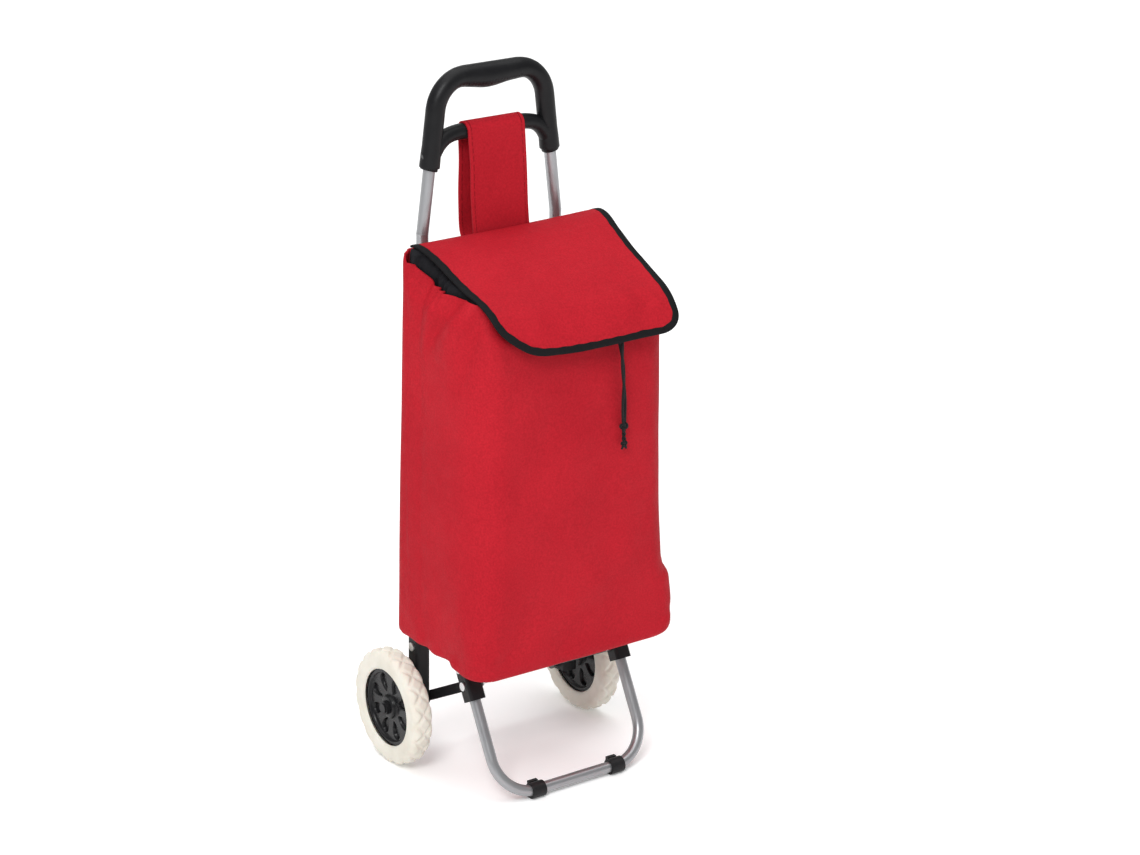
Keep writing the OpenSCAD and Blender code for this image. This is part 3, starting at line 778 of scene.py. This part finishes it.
def flap_piece():
    """The flap's cloth, and a tape folded round its three free edges."""
    o = grid("bag_flap_cloth", flap_points * MM)
    thicken(o, 0.0018, 0)
    edge = np.concatenate([flap_points[:, 0], flap_points[-1, 1:-1], flap_points[::-1, -1]])
    up = np.concatenate([flap_up[:, 0], flap_up[-1, 1:-1], flap_up[::-1, -1]])
    far = np.linalg.norm(np.diff(edge, axis=0), axis=1)
    s = np.concatenate([[0], np.cumsum(far)])
    rings = 240
    at = np.linspace(0, s[-1], rings)
    line = np.stack([np.interp(at, s, edge[:, k]) for k in range(3)], -1)
    normal = np.stack([np.interp(at, s, up[:, k]) for k in range(3)], -1)
    for _ in range(4):
        line[1:-1] = (line[:-2] + 2 * line[1:-1] + line[2:]) / 4
        normal[1:-1] = (normal[:-2] + 2 * normal[1:-1] + normal[2:]) / 4
    normal /= np.linalg.norm(normal, axis=1, keepdims=True)
    tangent = np.gradient(line, axis=0)
    tangent /= np.linalg.norm(tangent, axis=1, keepdims=True)
    inward = np.cross(normal, tangent)
    centre = flap_points[30, 45]
    if ((centre - line[60]) @ inward[60]) < 0:
        inward = -inward
    profile = [(-1.0, 0), (-0.9, 1.1), (0.2, 1.75), (7.6, 1.75), (8.6, 1.25), (8.6, -1.25), (7.6, -1.75),
               (0.2, -1.75), (-0.9, -1.1)]
    wave = 0.35 * np.sin(np.arange(rings) * 0.9) + 0.2 * np.sin(np.arange(rings) * 0.37)
    ring = np.array([[line[i] + (a + wave[i] * (a > 5)) * inward[i] + b * normal[i] for a, b in profile]
                     for i in range(rings)])
    cols = len(profile)
    faces = grid_faces(rings, cols, True) + end_faces(rings, cols)
    binding = piece("bag_flap_binding", ring.reshape(-1, 3) * MM, faces)
    smooth = binding.modifiers.new("round", "SUBSURF")
    smooth.levels = smooth.render_levels = 1
    finish_piece(o, bag_red, "flap", "bag_cloth", "bag_flap")
    finish_piece(binding, tape, "flap", "black_cloth", "flap_binding")
    gather_up(o, binding)


flap_piece()


# ---- Handle ----

def in_frame(x, out, h):
    """A point by its place across, behind the uprights' plane and up along the frame, in millimetres."""
    return np.array([x, FRAME_Y_AT_AXLE - h * math.sin(LEAN) + out * math.cos(LEAN),
                     AXLE_Z + h * math.cos(LEAN) + out * math.sin(LEAN)]) * MM


POLE_X, POLE_BACK = 87, 16.0        # the poles' centres across, and behind the uprights' plane


def handle():
    """One moulding: an arch with a bellied grip, and the hang bar between its arms."""
    tilt = math.atan2(10, 81)
    corner, top, mouth, level_h = 42.0, 811.6, 693.0, 799
    line = []
    rise = level_h - mouth - corner * (1 - math.sin(tilt))
    bend_x = POLE_X - rise * math.tan(tilt)
    for h in (mouth, mouth + 1.2, mouth + 4, mouth + 18, mouth + 40, mouth + 62, mouth + rise - 4):
        line.append((-(POLE_X - (h - mouth) * math.tan(tilt)), h))
    cx, cz = -(bend_x - corner * math.cos(tilt)), level_h - corner
    for a in np.linspace(180 - math.degrees(tilt), 92, 9):
        line.append((cx + corner * math.cos(math.radians(a)), cz + corner * math.sin(math.radians(a))))
    line += [(x, level_h) for x in (-36, -24, -12, 0)]
    line += [(-x, h) for x, h in line[-2::-1]]
    line = smooth_line(line, 3)
    radii = []
    for k, (x, h) in enumerate(line):
        level = float(ease(770, 798, h))
        grip = (1 - float(ease(30, 58, abs(x)))) * level
        belly = math.exp(-((x + 6) / 24) ** 2) * level
        across = 12 + 0.9 * grip + 2.4 * belly
        deep = 12 + 1.4 * grip
        if h < mouth + 2:
            across = deep = 11.6 if h <= mouth else 12.6
        elif h < mouth + 24:
            across = deep = 12.7 - 0.5 * (h - mouth) / 24
        radii.append((deep, across))
        line[k, 1] = h + level * (top - across - level_h)
    pts = np.array([in_frame(x, POLE_BACK, h) for x, h in line])
    arch = tube("arch", pts, np.array(radii) * MM, 28)
    bar = [(-88, 690), (-85.5, 699)]
    bar += [(-48 - 38 * math.cos(a), 693 + 38 * math.sin(a)) for a in map(math.radians, (25, 45, 65, 90))]
    bar += [(x, 731) for x in (-30, 0)]
    bar += [(-x, h) for x, h in bar[-2::-1]]
    bar = smooth_line(np.array([in_frame(x, POLE_BACK, h) for x, h in bar]), 4)
    flare = [float(ease(0.056, 0.086, abs(q[0]))) for q in bar]
    width = [(9.6 + 1.6 * k, 9.6 + 1.0 * k) for k in flare]
    rail = tube("rail", bar, np.array(width) * MM, 24)
    o = join("handle_moulding", [arch, rail])
    finish_piece(o, grip_black, "handle", "black_plastic",
                 "handle_arm_left", "handle_arm_right", "handle_grip", "hang_bar")


handle()
hanging_loop()


# ---- Wheels ----

def wheel_ring(side, x, r, a):
    """Points round the axle at angles a, for a wheel on that side."""
    return np.column_stack([side * (WHEEL_X + x) + 0 * a, r * np.cos(a), AXLE_Z + r * np.sin(a)])


def tyre(side):
    """Foam tyre whose tread is cut in crossing zigzags that run over its shoulders."""
    count, teeth = 432, 18
    profile = [(50, -11), (51.5, -13), (54, -13.8), (58, -14), (62, -13.9)]
    profile += [(66 + 9 * math.sin(a), -5 - 9 * math.cos(a)) for a in map(math.radians, range(0, 91, 10))]
    profile += [(75, x) for x in (-3.6, -2.4, -1.2)]
    profile += [(75, 0)] + [(r, -x) for r, x in profile[::-1]]
    profile = smooth_line(profile, 2)
    a = np.arange(count) * 2 * math.pi / count
    rows = []
    turn = teeth * a / (2 * math.pi)
    for r, x in profile:
        slant = 0.5 * abs(x) / 11
        cut = np.zeros(count)
        for sign in (1, -1):
            f = np.abs(((turn + sign * slant) % 1.0) - 0.5)
            cut = np.maximum(cut, 1 - ease(0.02, 0.24, f))
        rows.append(wheel_ring(side, x, r - 2.0 * float(ease(63, 70, r)) * cut, a))
    name = "left" if side < 0 else "right"
    o = grid("tyre_" + name + "_foam", np.array(rows) * MM, True)
    finish_piece(o, foam, "wheel_" + name, "tyre_foam", "tyre_" + name)


def hub(side):
    """Moulded hub with leaf-shaped pockets round a raised boss."""
    count = 240
    a = np.arange(count) * 2 * math.pi / count
    face = [5.06, 8, 11, 13, 14.2, 14.9, 15.6, 17.5, *np.arange(19, 44.1, 0.8),
            44.8, 45.4, 46.2, 47.5, 49.2, 50]
    rows = []

    def ring(r, x):
        deep = np.zeros(count)
        if 18 < r < 45:
            b = r - 31.5
            w = 2.6 + 5.8 * float(np.clip((b + 12) / 20, 0, 1)) ** 0.8
            for k in range(8):
                off = (a - (k + 0.5) * math.pi / 4 + math.pi) % (2 * math.pi) - math.pi
                q = np.sqrt((off * r / w) ** 2 + (b / 11.5) ** 2)
                deep = np.maximum(deep, 1 - ease(0.86, 1.04, q))
        rows.append(wheel_ring(side, x - np.sign(x) * 7.0 * deep, r, a))

    def height(r):
        boss = 6 + 4.6 * (1 - float(ease(14, 15.8, r))) - 1.2 * (min(r, 15) / 15) ** 2
        lip = float(ease(44.2, 45.6, r))
        return boss + 4.0 * lip + 0.4 * (float(ease(16, 44, r)) if r < 44.2 else 1 - lip)

    for r in face:
        ring(r, height(r))
    for r in face[::-1]:
        ring(r, -height(r))
    name = "left" if side < 0 else "right"
    o = grid("wheel_hub_" + name + "_moulding", np.array(rows) * MM, True)
    finish_piece(o, hub_black, "wheel_" + name, "hub_plastic", "wheel_hub_" + name)


for wheel_side in (-1, 1):
    tyre(wheel_side)
    hub(wheel_side)


# ---- Floor and light ----

def studio():
    """A pale floor under a white sky, with one soft light from the front left and a weak one behind."""
    floor = piece("floor", [(-9, -9, 0), (9, -9, 0), (9, 9, 0), (-9, 9, 0)], [(0, 1, 2, 3)], False)
    m = Mat("pale_floor", (0.93, 0.93, 0.93), 0.9, Specular_IOR_Level=0.1, Emission_Strength=0.16)
    m.color(m.tint(m.noise(3, 2), (0.93, 0.93, 0.93), (0.94, 0.94, 0.94)))
    floor.data.materials.append(m.m)
    world = bpy.data.worlds.new("studio")
    world.use_nodes = True
    bpy.context.scene.world = world
    t = world.node_tree
    background = t.nodes["Background"]
    path = t.nodes.new("ShaderNodeLightPath")
    level = t.nodes.new("ShaderNodeMapRange")
    t.links.new(path.outputs["Is Camera Ray"], level.inputs["Value"])
    level.inputs["To Min"].default_value = 0.42
    level.inputs["To Max"].default_value = 1.0
    t.links.new(level.outputs["Result"], background.inputs["Strength"])
    background.inputs["Color"].default_value = (1, 1, 1, 1)
    for name, place, size, power in (
            ("key", (-2.2, -2.2, 3.0), 1.3, 82), ("back", (0.8, 2.8, 2.2), 2.0, 7)):
        data = bpy.data.lights.new(name, "AREA")
        data.energy, data.size = power, size
        lamp = bpy.data.objects.new(name, data)
        lamp.location = place
        lamp.rotation_euler = (Vector((0, -0.1, 0.4)) - Vector(place)).to_track_quat("-Z", "Y").to_euler()
        bpy.context.scene.collection.objects.link(lamp)
    sky = bpy.data.lights.new("sky", "SUN")
    sky.energy, sky.angle = 1.9, math.radians(70)
    bpy.context.scene.collection.objects.link(bpy.data.objects.new("sky", sky))
    bpy.context.scene.view_settings.view_transform = "Standard"


studio()
